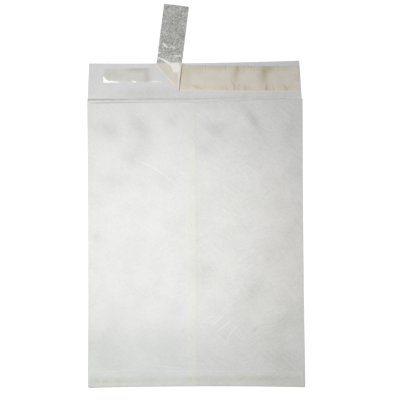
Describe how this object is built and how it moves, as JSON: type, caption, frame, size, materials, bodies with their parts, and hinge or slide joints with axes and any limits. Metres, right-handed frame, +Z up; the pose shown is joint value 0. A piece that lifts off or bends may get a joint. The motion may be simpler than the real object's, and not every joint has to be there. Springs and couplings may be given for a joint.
{
  "type": "self-seal envelope",
  "caption": "Open-end mailing envelope of white spun-bonded sheet, seal flap open, with its release liner partly peeled and folded back.",
  "frame": {"origin": "middle of the front (address) panel's underside, which lies on the table", "axes": "+Z up through the pocket to the seamed back, +Y from the bottom fold to the seal flap, +X to the right seen from above the back"},
  "size_m": [0.2286, 0.4052, 0.0071],
  "materials": {
    "spun_bonded_sheet": "white spun-bonded polyethylene sheet with a faint swirl of fibres, satin",
    "seam_glue": "yellowish hot-melt glue, hidden between layers",
    "flap_adhesive": "pressure-sensitive adhesive, grey-white with a wet gloss",
    "release_liner": "thin beige silicone-coated glassine, slightly translucent, satin"
  },
  "bodies": {
    "root": {"envelope_sheet": "spun_bonded_sheet", "seam_glue": "seam_glue", "bottom_glue": "seam_glue", "flap_adhesive": "flap_adhesive", "release_liner": "release_liner"}
  },
  "joints": []
}
